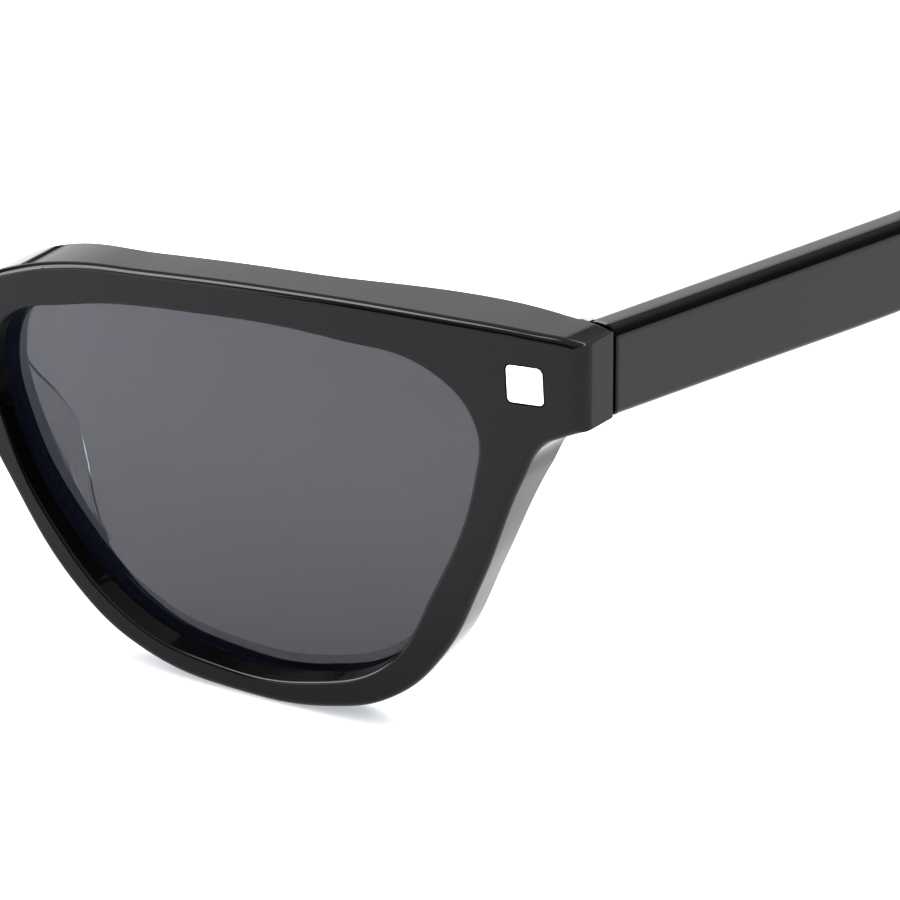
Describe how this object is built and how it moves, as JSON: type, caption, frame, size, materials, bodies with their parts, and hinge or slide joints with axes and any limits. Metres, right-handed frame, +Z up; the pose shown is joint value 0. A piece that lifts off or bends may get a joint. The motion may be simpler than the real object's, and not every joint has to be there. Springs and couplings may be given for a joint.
{
  "type": "cat eye sunglasses",
  "caption": "Cat eye sunglasses: a glossy black acetate front with upswept end pieces, smoke grey lenses, square metal shields and temples that fold on knuckle hinges.",
  "frame": {"origin": "on the table, under the middle of the object's bounding box, where the rims and ear tips rest", "axes": "+X to the wearer's left, +Y back along the temples, +Z up; the front looks along -Y"},
  "size_m": [0.1444, 0.147, 0.0431],
  "materials": {
    "front_acetate": "polished black acetate",
    "temple_acetate": "polished black acetate",
    "smoke_lens": "smoke grey tint, glossy",
    "clear_acetate": "clear, polished",
    "silver_shield": "polished silver plate",
    "hinge_steel": "bright nickel silver",
    "screw_steel": "bright steel",
    "core_steel": "drawn wire"
  },
  "bodies": {
    "front": {"frame_front": "front_acetate", "hinge_front_left": "hinge_steel", "hinge_front_right": "hinge_steel", "hinge_screw_left": "screw_steel", "hinge_screw_right": "screw_steel", "lens_left": "smoke_lens", "lens_right": "smoke_lens", "nose_pad_left": "clear_acetate", "nose_pad_right": "clear_acetate", "shield_left": "silver_shield", "shield_right": "silver_shield"},
    "temple_left_body": {"temple_left": "temple_acetate", "hinge_temple_left": "hinge_steel", "temple_core_left": "core_steel"},
    "temple_right_body": {"temple_right": "temple_acetate", "hinge_temple_right": "hinge_steel", "temple_core_right": "core_steel"}
  },
  "joints": [
    {"name": "temple_left_fold", "type": "hinge", "parent": "front", "child": "temple_left_body", "pos_m": [0.0659, -0.0585, 0.0376], "axis": [0, 0, 1], "range_deg": [0, 90]},
    {"name": "temple_right_fold", "type": "hinge", "parent": "front", "child": "temple_right_body", "pos_m": [-0.0659, -0.0585, 0.0376], "axis": [0, 0, -1], "range_deg": [0, 82]}
  ]
}
